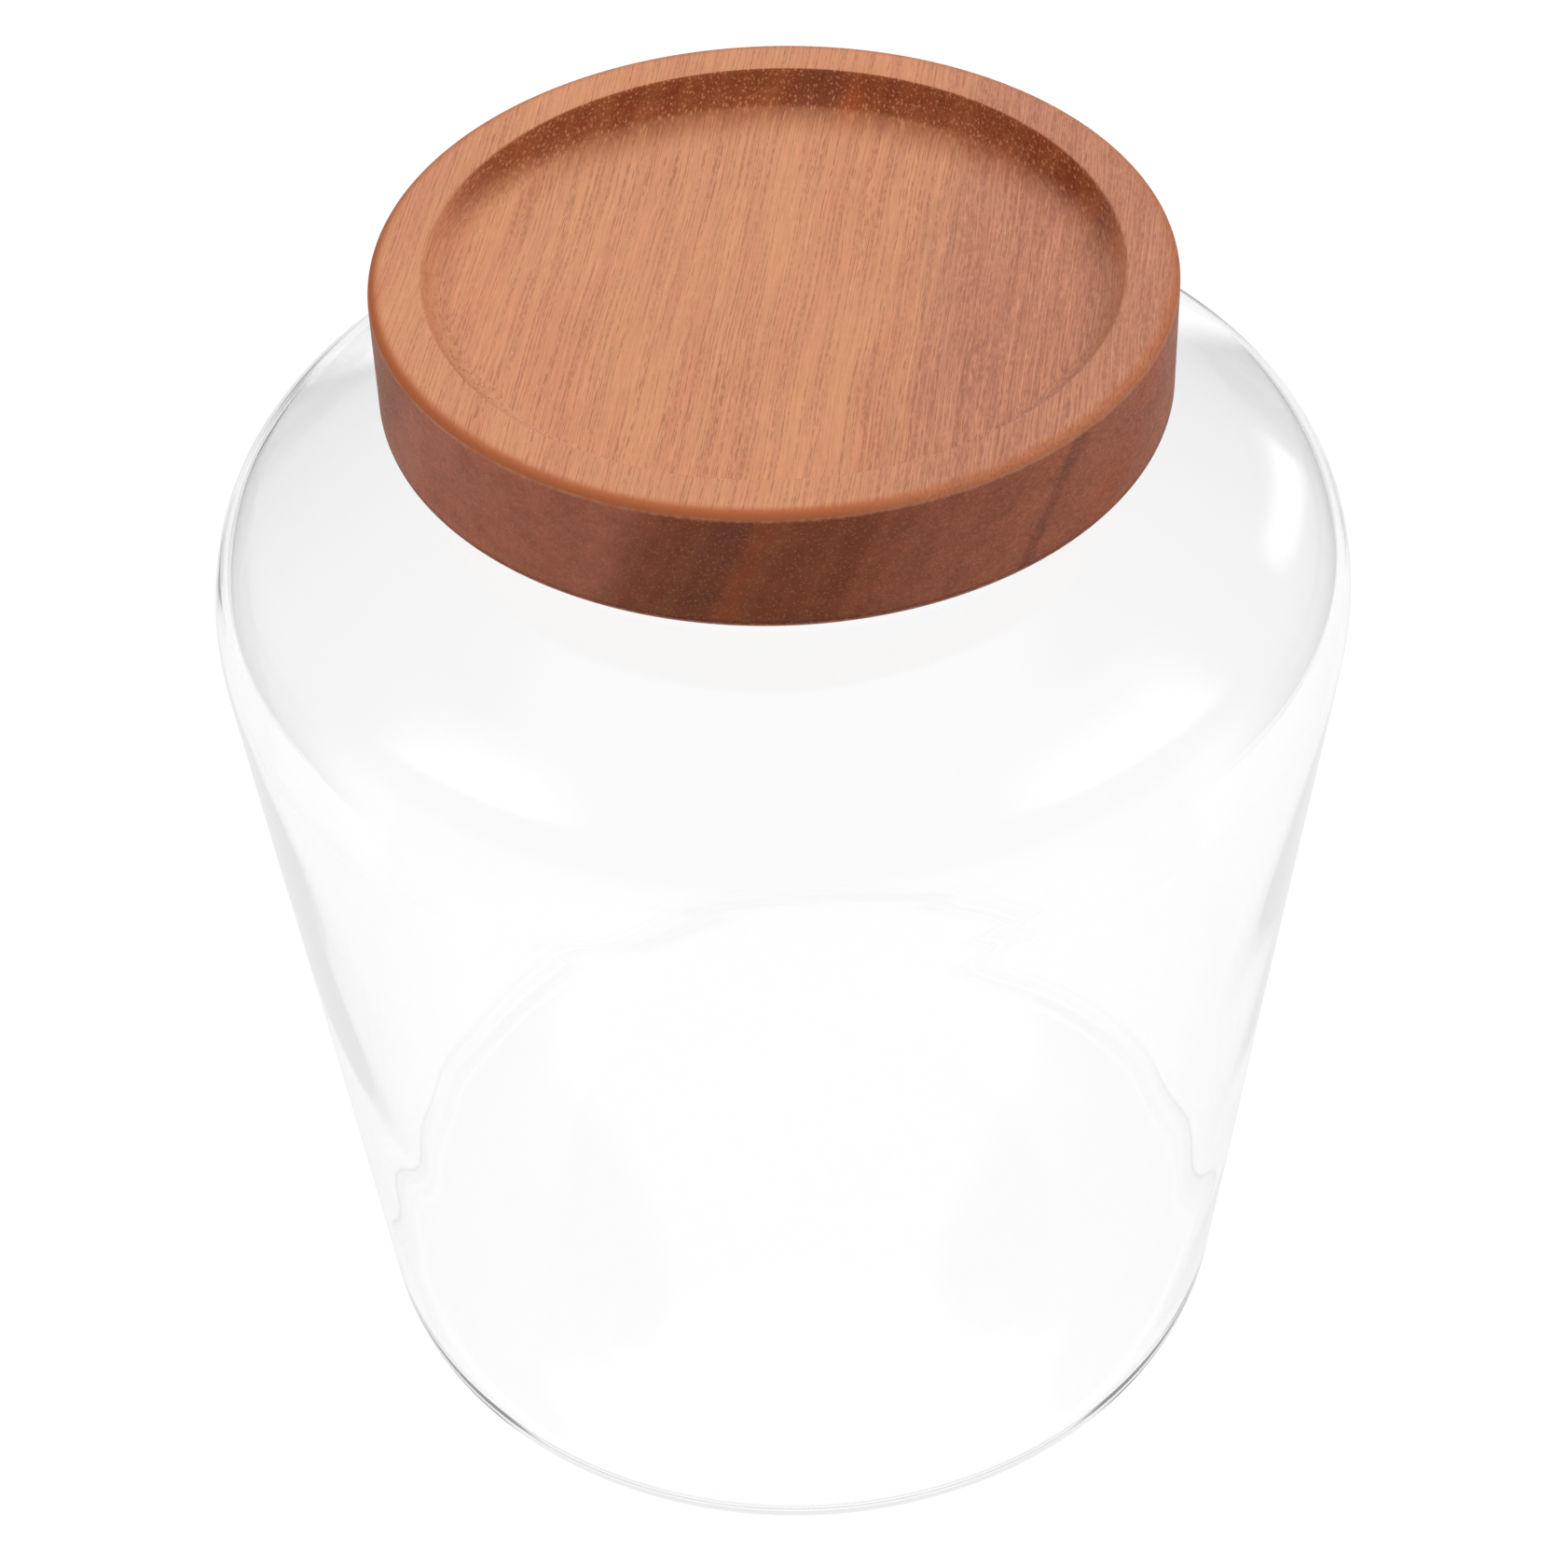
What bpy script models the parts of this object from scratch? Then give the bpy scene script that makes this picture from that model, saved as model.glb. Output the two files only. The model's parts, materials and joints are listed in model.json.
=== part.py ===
"""Storage jar: a glass vessel, a turned wooden lid that plugs its mouth, and the ring that seals the plug.

Metres, +Z up. The origin is the centre of the foot, on the surface that the jar stands on. Every piece is
turned about the Z axis, so each is one outline in the X-Z plane, carried once round that axis.
"""

import math

import bpy

MM = 0.001

# Glass vessel
GLASS_HEIGHT = 181.0 * MM       # top of the rim
BODY_RADIUS = 85.4 * MM         # the widest place
SHOULDER_DEPTH = 36.8 * MM      # from the rim down to the widest place
SHOULDER_STEP = 35.9 * MM       # from the widest place in to the neck
WALL_TAPER = 13.3 * MM          # from the widest place in to the heel
HEEL_RADIUS = 6.3 * MM          # rounding from the foot to the wall
SHOULDER_RADIUS = 32.3 * MM     # gentle curve round the widest place
SHOULDER_END = math.radians(15.5)   # slope of the surface's normal where the tighter curve takes over
CORNER_RADIUS = 14.2 * MM       # tighter curve from the shoulder to the dome
DOME_RADIUS = 140.0 * MM        # slight crown of the top
NECK_FILLET = 4.6 * MM          # hollow curve from the dome into the neck
NECK_HEIGHT = 3.0 * MM          # upright part of the neck, rim included
NECK_WALL = 3.0 * MM            # the neck and its rim, thicker than the wall
NECK_INNER_FILLET = 5.0 * MM    # curve from the inside of the dome up into the mouth
WALL = 1.5 * MM
BASE_THICKNESS = 3.0 * MM
FLOOR_HEEL_RADIUS = 4.5 * MM    # inside rounding from the floor to the wall
FOOT_WIDTH = 12.0 * MM          # flat ring that the jar stands on
PUSH_UP = 2.0 * MM              # rise of the underside and of the floor at the centre

# Wooden lid
LID_OVERHANG = 8.0 * MM         # from the neck out to the disc's side
LID_THICKNESS = 19.5 * MM       # of the disc, without the plug
LID_TOP_ROUND = 1.5 * MM
LID_BOTTOM_ROUND = 1.0 * MM
DISH_RIM_WIDTH = 7.8 * MM       # round the dish, out to the disc's side
DISH_DEPTH = 4.5 * MM
DISH_COVE = 5.5 * MM            # hollow curve from the dish's floor to its wall
DISH_EDGE_ROUND = 0.6 * MM
PLUG_LAND = 3.0 * MM            # wood below the groove
PLUG_EDGE_ROUND = 1.0 * MM
PLUG_CLEARANCE = 3.0 * MM       # bare wood to the glass, all round
SEAT_CLEARANCE = 0.3 * MM       # disc to the rim that carries it

# Seal ring and its groove
GROOVE_START = 2.0 * MM         # below the disc's underside
GROOVE_HEIGHT = 5.0 * MM
GROOVE_DEPTH = 2.0 * MM
SEAL_SEAT_CLEARANCE = 0.3 * MM  # ring to the groove's floor and sides
SEAL_MOUTH_CLEARANCE = 0.3 * MM # fin tips to the glass
SEAL_BAND = 1.3 * MM
FIN_ROOT = 1.2 * MM             # a fin's thickness where it leaves the band
FIN_TIP_RADIUS = 0.35 * MM
FIN_RISE = 0.5 * MM             # a fin's tip stands this much above its root's middle
FIN_COUNT = 2

# Fineness of the turned solids
TURN_STEPS = 48
CHORD_ERROR = 0.05 * MM
MERGE_DISTANCE = 0.01 * MM
PUSH_UP_SHARES = (0.85, 0.7, 0.5, 0.25)   # radii of the rings that shape the push-up

NECK_RADIUS = BODY_RADIUS - SHOULDER_STEP
MOUTH_RADIUS = NECK_RADIUS - NECK_WALL
LID_RADIUS = NECK_RADIUS + LID_OVERHANG
LID_SEAT = GLASS_HEIGHT + SEAT_CLEARANCE    # height of the disc's underside
PLUG_RADIUS = MOUTH_RADIUS - PLUG_CLEARANCE
GROOVE_RADIUS = PLUG_RADIUS - GROOVE_DEPTH
GROOVE_END = GROOVE_START + GROOVE_HEIGHT   # below the disc's underside


def travel_angle(first, second):
    """Direction of the line that touches both circles, with the outside of the solid on its left."""
    (x1, z1, r1), (x2, z2, r2) = first, second
    reach = math.hypot(x2 - x1, z2 - z1)
    lean = max(-1.0, min(1.0, (r2 - r1) / reach))
    return math.atan2(z2 - z1, x2 - x1) + math.asin(lean)


def arc_points(circle, start, end):
    """Points of the circle from one direction of travel to the next, within CHORD_ERROR of the true arc."""
    x, z, radius = circle
    turn = math.remainder(end - start, math.tau)
    if not radius:
        return [(x, z)]
    step = 2 * math.acos(1 - min(1.0, CHORD_ERROR / abs(radius)))
    count = max(1, math.ceil(abs(turn) / step))
    angles = [start + turn * i / count for i in range(count + 1)]
    return [(x - radius * math.sin(a), z + radius * math.cos(a)) for a in angles]


def tidy(points):
    """The points without those that fall on the one before."""
    kept = points[:1]
    for point in points[1:]:
        if math.dist(point, kept[-1]) > MERGE_DISTANCE:
            kept.append(point)
    return kept


def turned_outline(circles, closed=False):
    """Outline that wraps a row of circles (x, z, radius), joined by the lines that touch them.

    A radius of zero is a sharp corner, a positive one rounds a corner that stands out, and a negative one
    fills a corner that goes in. The outside of the solid lies to the left all the way.
    """
    count = len(circles)
    pairs = count if closed else count - 1
    ways = [travel_angle(circles[i], circles[(i + 1) % count]) for i in range(pairs)]
    if closed:
        ends = [(ways[i - 1], ways[i]) for i in range(count)]
    else:
        ends = list(zip([ways[0]] + ways, ways + [ways[-1]]))
    points = []
    for circle, (start, end) in zip(circles, ends):
        points += arc_points(circle, start, end)
    return tidy(points)


def crossing_of_circles(first, first_reach, second, second_reach):
    """The lower of the two points at the given distances from two others."""
    (x1, z1), (x2, z2) = first, second
    gap = math.dist(first, second)
    along = (first_reach**2 - second_reach**2 + gap**2) / (2 * gap)
    across = math.sqrt(max(0.0, first_reach**2 - along**2))
    ux, uz = (x2 - x1) / gap, (z2 - z1) / gap
    middle = (x1 + along * ux, z1 + along * uz)
    found = [(middle[0] - side * across * uz, middle[1] + side * across * ux) for side in (-1, 1)]
    return min(found, key=lambda point: point[1])


def upper_wall_circles(inward):
    """Circles of the glass from the neck to the widest place, moved into the glass by inward."""
    shoulder = (BODY_RADIUS - SHOULDER_RADIUS, GLASS_HEIGHT - SHOULDER_DEPTH)
    shift = SHOULDER_RADIUS - CORNER_RADIUS
    corner = (shoulder[0] + shift * math.cos(SHOULDER_END), shoulder[1] + shift * math.sin(SHOULDER_END))
    fillet = (NECK_RADIUS + NECK_FILLET, GLASS_HEIGHT - NECK_HEIGHT)
    dome = crossing_of_circles(corner, DOME_RADIUS - CORNER_RADIUS, fillet, DOME_RADIUS + NECK_FILLET)
    return [
        (*fillet, -NECK_FILLET - inward),
        (*dome, DOME_RADIUS - inward),
        (*corner, CORNER_RADIUS - inward),
        (*shoulder, SHOULDER_RADIUS - inward),
    ]


def mouth_circle(dome):
    """Circle of the glass that touches the upright mouth and the inside of the dome."""
    x = MOUTH_RADIUS + NECK_INNER_FILLET
    z = dome[1] + math.sqrt((DOME_RADIUS - WALL + NECK_INNER_FILLET) ** 2 - (x - dome[0]) ** 2)
    return x, z, -NECK_INNER_FILLET


def push_up_points(radius, height):
    """Corners along a shallow rise from radius to the axis, steepest half way in."""
    rings = [share * radius for share in PUSH_UP_SHARES] + [0.0]
    return [(ring, height + PUSH_UP * (1 - (ring / radius) ** 2) ** 2, 0.0) for ring in rings]


def jar_outline():
    heel = (BODY_RADIUS - WALL_TAPER - HEEL_RADIUS, HEEL_RADIUS)
    outer_wall = upper_wall_circles(0.0)
    inner_wall = [mouth_circle(outer_wall[1])] + upper_wall_circles(WALL)[1:]
    # the inside heel's circle touches the floor and the line of the inner wall
    inner_way = travel_angle(outer_wall[-1], (*heel, HEEL_RADIUS))
    floor_heel_height = BASE_THICKNESS + FLOOR_HEEL_RADIUS
    wall_normal = (-math.sin(inner_way), math.cos(inner_way))
    wall_reach = heel[0] * wall_normal[0] + heel[1] * wall_normal[1] + HEEL_RADIUS - WALL
    floor_heel = (
        (wall_reach - FLOOR_HEEL_RADIUS - floor_heel_height * wall_normal[1]) / wall_normal[0],
        floor_heel_height,
    )
    foot_inside = heel[0] - FOOT_WIDTH
    rim_round = NECK_WALL / 2
    rim = (NECK_RADIUS - rim_round, GLASS_HEIGHT - rim_round)

    # inside the vessel the glass lies on the other hand, so radii change sign and the order is upwards
    inside = [(x, z, -radius) for x, z, radius in reversed(inner_wall)]
    circles = list(reversed(push_up_points(floor_heel[0], BASE_THICKNESS)))
    circles += [(*floor_heel, -FLOOR_HEEL_RADIUS)]
    circles += inside
    circles += [(*rim, rim_round)]
    circles += outer_wall
    circles += [(*heel, HEEL_RADIUS), (foot_inside, 0.0, 0.0)]
    circles += push_up_points(foot_inside, 0.0)
    return turned_outline(circles)


def lid_outline():
    """Outline of the lid, with heights above the disc's underside."""
    dish_radius = LID_RADIUS - DISH_RIM_WIDTH
    dish_floor = LID_THICKNESS - DISH_DEPTH
    plug_end = -GROOVE_END - PLUG_LAND
    return turned_outline([
        (0.0, dish_floor, 0.0),
        (dish_radius - DISH_COVE, dish_floor + DISH_COVE, -DISH_COVE),
        (dish_radius + DISH_EDGE_ROUND, LID_THICKNESS - DISH_EDGE_ROUND, DISH_EDGE_ROUND),
        (LID_RADIUS - LID_TOP_ROUND, LID_THICKNESS - LID_TOP_ROUND, LID_TOP_ROUND),
        (LID_RADIUS - LID_BOTTOM_ROUND, LID_BOTTOM_ROUND, LID_BOTTOM_ROUND),
        (PLUG_RADIUS, 0.0, 0.0),
        (PLUG_RADIUS, -GROOVE_START, 0.0),
        (GROOVE_RADIUS, -GROOVE_START, 0.0),
        (GROOVE_RADIUS, -GROOVE_END, 0.0),
        (PLUG_RADIUS, -GROOVE_END, 0.0),
        (PLUG_RADIUS - PLUG_EDGE_ROUND, plug_end + PLUG_EDGE_ROUND, PLUG_EDGE_ROUND),
        (0.0, plug_end, 0.0),
    ])


def seal_outline():
    """Closed outline of the ring, in the lid's heights: a band in the groove, and fins out to the glass."""
    inside = GROOVE_RADIUS + SEAL_SEAT_CLEARANCE
    outside = inside + SEAL_BAND
    top = -GROOVE_START - SEAL_SEAT_CLEARANCE
    bottom = -GROOVE_END + SEAL_SEAT_CLEARANCE
    tip = MOUTH_RADIUS - SEAL_MOUTH_CLEARANCE - FIN_TIP_RADIUS
    pitch = (top - bottom) / FIN_COUNT
    circles = [(inside, bottom, 0.0), (inside, top, 0.0), (outside, top, 0.0)]
    for fin in range(FIN_COUNT):
        middle = top - pitch * (fin + 0.5)
        circles += [
            (outside, middle + FIN_ROOT / 2, 0.0),
            (tip, middle + FIN_RISE, FIN_TIP_RADIUS),
            (outside, middle - FIN_ROOT / 2, 0.0),
        ]
    circles.append((outside, bottom, 0.0))
    return turned_outline(circles, closed=True)


def material(name, colour, roughness, transmission=0.0, alpha=1.0):
    made = bpy.data.materials.new(name)
    made.use_nodes = True
    shader = made.node_tree.nodes["Principled BSDF"]
    shader.inputs["Base Color"].default_value = (*colour, 1.0)
    shader.inputs["Roughness"].default_value = roughness
    shader.inputs["Metallic"].default_value = 0.0
    shader.inputs["Transmission Weight"].default_value = transmission
    shader.inputs["Alpha"].default_value = alpha
    made.diffuse_color = (*colour, alpha)
    return made


def turned_piece(name, outline, finish, closed=False):
    """An object made by turning an outline of (x, z) points about the Z axis."""
    count = len(outline)
    edges = [(i, (i + 1) % count) for i in range(count if closed else count - 1)]
    mesh = bpy.data.meshes.new(name)
    mesh.from_pydata([(x, 0.0, z) for x, z in outline], edges, [])
    piece = bpy.data.objects.new(name, mesh)
    bpy.context.scene.collection.objects.link(piece)
    mesh.materials.append(finish)
    screw = piece.modifiers.new("turned", "SCREW")
    screw.axis = "Z"
    screw.steps = screw.render_steps = TURN_STEPS
    screw.use_merge_vertices = True
    screw.merge_threshold = MERGE_DISTANCE
    screw.use_smooth_shade = True
    return piece


def clear_scene():
    for thing in list(bpy.data.objects):
        bpy.data.objects.remove(thing)


def build():
    clear_scene()
    turned_piece("glass_jar", jar_outline(), material("clear_glass", (0.96, 0.97, 0.97), 0.02, 1.0))

    # the lid and its ring hang on one empty, on the axis along which the lid lifts
    lid_axis = bpy.data.objects.new("lid_lift_axis", None)
    lid_axis.location = (0.0, 0.0, LID_SEAT)
    bpy.context.scene.collection.objects.link(lid_axis)
    lid = turned_piece("wooden_lid", lid_outline(), material("acacia_wood", (0.56, 0.26, 0.12), 0.45))
    seal = turned_piece(
        "seal_ring", seal_outline(), material("silicone", (0.88, 0.88, 0.86), 0.5), closed=True
    )
    lid.parent = lid_axis
    seal.parent = lid_axis


build()
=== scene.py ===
"""Looks of the storage jar: clear blown glass, a turned acacia lid and the silicone ring that seals it."""

import json
import math

import bpy
import numpy as np
from mathutils import Matrix, Vector


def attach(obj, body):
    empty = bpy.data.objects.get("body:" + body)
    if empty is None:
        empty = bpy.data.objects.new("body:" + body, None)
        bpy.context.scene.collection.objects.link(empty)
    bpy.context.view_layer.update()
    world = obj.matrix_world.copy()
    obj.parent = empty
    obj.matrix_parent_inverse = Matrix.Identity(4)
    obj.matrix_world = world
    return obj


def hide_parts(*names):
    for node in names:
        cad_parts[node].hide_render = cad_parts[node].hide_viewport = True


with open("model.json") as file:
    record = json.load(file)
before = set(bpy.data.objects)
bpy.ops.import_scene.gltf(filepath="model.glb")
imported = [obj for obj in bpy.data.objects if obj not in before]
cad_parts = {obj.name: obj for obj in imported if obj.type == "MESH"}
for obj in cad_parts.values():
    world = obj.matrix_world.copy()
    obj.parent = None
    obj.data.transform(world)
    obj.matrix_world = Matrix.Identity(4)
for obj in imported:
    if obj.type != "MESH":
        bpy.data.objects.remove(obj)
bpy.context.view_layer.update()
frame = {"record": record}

MM = 0.001

# Glass vessel, as in the solids
GLASS_HEIGHT = 181.0 * MM
BODY_RADIUS = 85.4 * MM
SHOULDER_DEPTH = 36.8 * MM
SHOULDER_STEP = 35.9 * MM
WALL_TAPER = 13.3 * MM
HEEL_RADIUS = 6.3 * MM
SHOULDER_RADIUS = 32.3 * MM
SHOULDER_END = math.radians(15.5)
CORNER_RADIUS = 14.2 * MM
DOME_RADIUS = 140.0 * MM
NECK_FILLET = 4.6 * MM
NECK_HEIGHT = 3.0 * MM
NECK_WALL = 3.0 * MM
NECK_INNER_FILLET = 5.0 * MM
WALL = 1.5 * MM
BASE_THICKNESS = 3.0 * MM
FLOOR_HEEL_RADIUS = 4.5 * MM
FOOT_WIDTH = 12.0 * MM
PUSH_UP = 2.0 * MM
PUSH_UP_SHARES = (0.95, 0.85, 0.75, 0.65, 0.55, 0.45, 0.35, 0.25, 0.15, 0.08)
NECK_RADIUS = BODY_RADIUS - SHOULDER_STEP
MOUTH_RADIUS = NECK_RADIUS - NECK_WALL

# Wooden lid, as in the solids
LID_SEAT = GLASS_HEIGHT + 0.3 * MM
LID_RADIUS = NECK_RADIUS + 8.0 * MM
LID_THICKNESS = 19.5 * MM
LID_TOP_ROUND = 1.5 * MM
LID_BOTTOM_ROUND = 1.0 * MM
DISH_RIM_WIDTH = 7.8 * MM
DISH_DEPTH = 4.5 * MM
DISH_COVE = 5.5 * MM
DISH_EDGE_ROUND = 0.6 * MM
PLUG_RADIUS = MOUTH_RADIUS - 3.0 * MM
PLUG_LAND = 3.0 * MM
PLUG_EDGE_ROUND = 1.0 * MM
GROOVE_START = 2.0 * MM
GROOVE_END = 7.0 * MM
GROOVE_RADIUS = PLUG_RADIUS - 2.0 * MM

# Seal ring, as in the solids
SEAL_CLEARANCE = 0.3 * MM
SEAL_BAND = 1.3 * MM
FIN_ROOT = 1.2 * MM
FIN_TIP_RADIUS = 0.35 * MM
FIN_RISE = 0.5 * MM
FIN_COUNT = 2

# Fineness of the turned surfaces
CHORD_ERROR = 0.004 * MM
SAME_POINT = 0.002 * MM
ON_THE_AXIS = 0.001 * MM
VESSEL_STEP = 2.0 * MM
LID_STEP = 4.0 * MM
GLASS_TURNS = 224
WOOD_TURNS = 360


# Outlines

def travel_angle(first, second):
    """Direction of the line that touches both circles, the solid on its right."""
    (x1, z1, r1), (x2, z2, r2) = first, second
    lean = (r2 - r1) / math.hypot(x2 - x1, z2 - z1)
    return math.atan2(z2 - z1, x2 - x1) + math.asin(max(-1.0, min(1.0, lean)))


def wrap(circles, closed=False):
    """Points of the outline round a row of circles (x, z, radius): each circle's arc runs from the direction
    of the line before it to that of the line after it, and a negative radius bends the other way."""
    count = len(circles)
    pairs = count if closed else count - 1
    ways = [travel_angle(circles[i], circles[(i + 1) % count]) for i in range(pairs)]
    if closed:
        ends = [(ways[i - 1], ways[i]) for i in range(count)]
    else:
        ends = list(zip([ways[0]] + ways, ways + [ways[-1]]))
    parts = []
    for (x, z, radius), (start, end) in zip(circles, ends):
        turn = math.remainder(end - start, math.tau)
        if not radius:
            parts.append(np.array([[x, z]]))
            continue
        step = 2 * math.acos(1 - min(0.5, CHORD_ERROR / abs(radius)))
        angles = start + turn * np.linspace(0, 1, max(2, math.ceil(abs(turn) / step) + 1))
        parts.append(np.stack([x - radius * np.sin(angles), z + radius * np.cos(angles)], 1))
    points = np.concatenate(parts)
    kept = np.r_[True, np.hypot(*np.diff(points, axis=0).T) > SAME_POINT]
    return points[kept]


def split_long(points, longest):
    """The outline with even points added, so that no straight piece is longer than longest."""
    gaps = np.hypot(*np.diff(points, axis=0).T)
    pieces = [
        a + (b - a) * np.linspace(0, 1, math.ceil(gap / longest), endpoint=False)[:, None]
        for a, b, gap in zip(points[:-1], points[1:], gaps)
    ]
    return np.concatenate(pieces + [points[-1:]])


def crossing_of_circles(first, first_reach, second, second_reach):
    """The lower of the two points at the given distances from two others."""
    (x1, z1), (x2, z2) = first, second
    gap = math.dist(first, second)
    along = (first_reach**2 - second_reach**2 + gap**2) / (2 * gap)
    across = math.sqrt(max(0.0, first_reach**2 - along**2))
    ux, uz = (x2 - x1) / gap, (z2 - z1) / gap
    found = [
        (x1 + along * ux - side * across * uz, z1 + along * uz + side * across * ux)
        for side in (-1, 1)
    ]
    return min(found, key=lambda point: point[1])


def glass_outline():
    """Outline of the vessel's section: from the floor's centre up inside, over the rim and down outside."""
    shoulder = (BODY_RADIUS - SHOULDER_RADIUS, GLASS_HEIGHT - SHOULDER_DEPTH)
    shift = SHOULDER_RADIUS - CORNER_RADIUS
    corner = (shoulder[0] + shift * math.cos(SHOULDER_END), shoulder[1] + shift * math.sin(SHOULDER_END))
    fillet = (NECK_RADIUS + NECK_FILLET, GLASS_HEIGHT - NECK_HEIGHT)
    dome = crossing_of_circles(corner, DOME_RADIUS - CORNER_RADIUS, fillet, DOME_RADIUS + NECK_FILLET)
    heel = (BODY_RADIUS - WALL_TAPER - HEEL_RADIUS, HEEL_RADIUS)

    def wall_circles(inward):
        return [
            (*fillet, -NECK_FILLET - inward),
            (*dome, DOME_RADIUS - inward),
            (*corner, CORNER_RADIUS - inward),
            (*shoulder, SHOULDER_RADIUS - inward),
        ]

    mouth_x = MOUTH_RADIUS + NECK_INNER_FILLET
    mouth_rise = math.sqrt((DOME_RADIUS - WALL + NECK_INNER_FILLET) ** 2 - (mouth_x - dome[0]) ** 2)
    mouth = (mouth_x, dome[1] + mouth_rise, -NECK_INNER_FILLET)
    outer, inner = wall_circles(0.0), [mouth] + wall_circles(WALL)[1:]
    way = travel_angle(outer[-1], (*heel, HEEL_RADIUS))
    normal = (-math.sin(way), math.cos(way))
    floor_z = BASE_THICKNESS + FLOOR_HEEL_RADIUS
    reach = heel[0] * normal[0] + heel[1] * normal[1] + HEEL_RADIUS - WALL
    floor_heel = ((reach - FLOOR_HEEL_RADIUS - floor_z * normal[1]) / normal[0], floor_z)
    foot_inside = heel[0] - FOOT_WIDTH
    rim_round = NECK_WALL / 2

    def push_up(radius, height):
        """Rings from the edge inwards: height + PUSH_UP x (1 - share squared) squared, for each share."""
        rings = [share * radius for share in PUSH_UP_SHARES] + [0.0]
        return [(ring, height + PUSH_UP * (1 - (ring / radius) ** 2) ** 2, 0.0) for ring in rings]

    circles = push_up(floor_heel[0], BASE_THICKNESS)[::-1]
    circles += [(*floor_heel, -FLOOR_HEEL_RADIUS)]
    circles += [(x, z, -radius) for x, z, radius in reversed(inner)]
    circles += [(NECK_RADIUS - rim_round, GLASS_HEIGHT - rim_round, rim_round)]
    circles += outer
    circles += [(*heel, HEEL_RADIUS), (foot_inside, 0.0, 0.0)]
    circles += push_up(foot_inside, 0.0)
    return wrap(circles)


def lid_outline():
    """Outline of the lid's section, from the dish's centre outwards, down the side and in under the plug."""
    dish_radius = LID_RADIUS - DISH_RIM_WIDTH
    floor = LID_SEAT + LID_THICKNESS - DISH_DEPTH
    top = LID_SEAT + LID_THICKNESS
    end = LID_SEAT - GROOVE_END - PLUG_LAND
    return wrap([
        (0.0, floor, 0.0),
        (dish_radius - DISH_COVE, floor + DISH_COVE, -DISH_COVE),
        (dish_radius + DISH_EDGE_ROUND, top - DISH_EDGE_ROUND, DISH_EDGE_ROUND),
        (LID_RADIUS - LID_TOP_ROUND, top - LID_TOP_ROUND, LID_TOP_ROUND),
        (LID_RADIUS - LID_BOTTOM_ROUND, LID_SEAT + LID_BOTTOM_ROUND, LID_BOTTOM_ROUND),
        (PLUG_RADIUS, LID_SEAT, 0.0),
        (PLUG_RADIUS, LID_SEAT - GROOVE_START, 0.0),
        (GROOVE_RADIUS, LID_SEAT - GROOVE_START, 0.0),
        (GROOVE_RADIUS, LID_SEAT - GROOVE_END, 0.0),
        (PLUG_RADIUS, LID_SEAT - GROOVE_END, 0.0),
        (PLUG_RADIUS - PLUG_EDGE_ROUND, end + PLUG_EDGE_ROUND, PLUG_EDGE_ROUND),
        (0.0, end, 0.0),
    ])


def seal_outline():
    """Closed outline of the ring's section: a band in the groove, and fins that reach for the glass."""
    inside = GROOVE_RADIUS + SEAL_CLEARANCE
    outside = inside + SEAL_BAND
    top = LID_SEAT - GROOVE_START - SEAL_CLEARANCE
    bottom = LID_SEAT - GROOVE_END + SEAL_CLEARANCE
    tip = MOUTH_RADIUS - SEAL_CLEARANCE - FIN_TIP_RADIUS
    pitch = (top - bottom) / FIN_COUNT
    circles = [(inside, bottom, 0.0), (inside, top, 0.0), (outside, top, 0.0)]
    for fin in range(FIN_COUNT):
        middle = top - pitch * (fin + 0.5)
        circles += [
            (outside, middle + FIN_ROOT / 2, 0.0),
            (tip, middle + FIN_RISE, FIN_TIP_RADIUS),
            (outside, middle - FIN_ROOT / 2, 0.0),
        ]
    circles.append((outside, bottom, 0.0))
    return wrap(circles, closed=True)


# Turned surfaces

def turned_mesh(name, outline, turns, closed=False, shift=None):
    """Surface r(s), z(s) carried round Z: x = r cos a, y = r sin a on an even grid of s and a.

    shift(points) moves the whole array of points. An end on the axis is one point with a fan of triangles.
    """
    on_axis = [] if closed else [i for i in (0, len(outline) - 1) if outline[i, 0] < ON_THE_AXIS]
    rings = np.delete(np.arange(len(outline)), on_axis)
    angles = np.linspace(0, math.tau, turns, endpoint=False)
    radius, height = outline[rings, 0][:, None], outline[rings, 1][:, None]
    grid = np.stack([radius * np.cos(angles), radius * np.sin(angles), height + 0 * angles], -1)
    points = np.concatenate([grid.reshape(-1, 3)] + [[[0, 0, outline[i, 1]]] for i in on_axis])
    if shift is not None:
        points = shift(points)
    count = len(rings)
    down = np.arange(count if closed else count - 1)[:, None]
    along = np.arange(turns)[None, :]
    low, high = down * turns, (down + 1) % count * turns
    ahead = (along + 1) % turns
    quads = np.stack([low + along, high + along, high + ahead, low + ahead], -1)
    faces = quads.reshape(-1, 4).tolist()
    for k, i in enumerate(on_axis):
        pole = np.full(turns, count * turns + k)
        first = (count - 1) * turns * (i > 0)
        fan = [pole, first + along[0], first + ahead[0]]
        faces += np.stack(fan if i == 0 else [fan[0], fan[2], fan[1]], -1).tolist()
    mesh = bpy.data.meshes.new(name)
    mesh.from_pydata(points.tolist(), [], faces)
    mesh.validate()
    mesh.shade_smooth()
    piece = bpy.data.objects.new(name, mesh)
    bpy.context.scene.collection.objects.link(piece)
    return piece


# Slow waves of the blown wall: size, waves round the jar, turn per metre of height, start
WALL_WAVES = (
    (0.22 * MM, 2, 30.0, 0.5), (0.12 * MM, 3, -55.0, 2.0), (0.07 * MM, 5, 80.0, 4.1),
    (0.04 * MM, 9, -120.0, 1.0), (0.02 * MM, 14, 160.0, 3.0),
)

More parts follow.
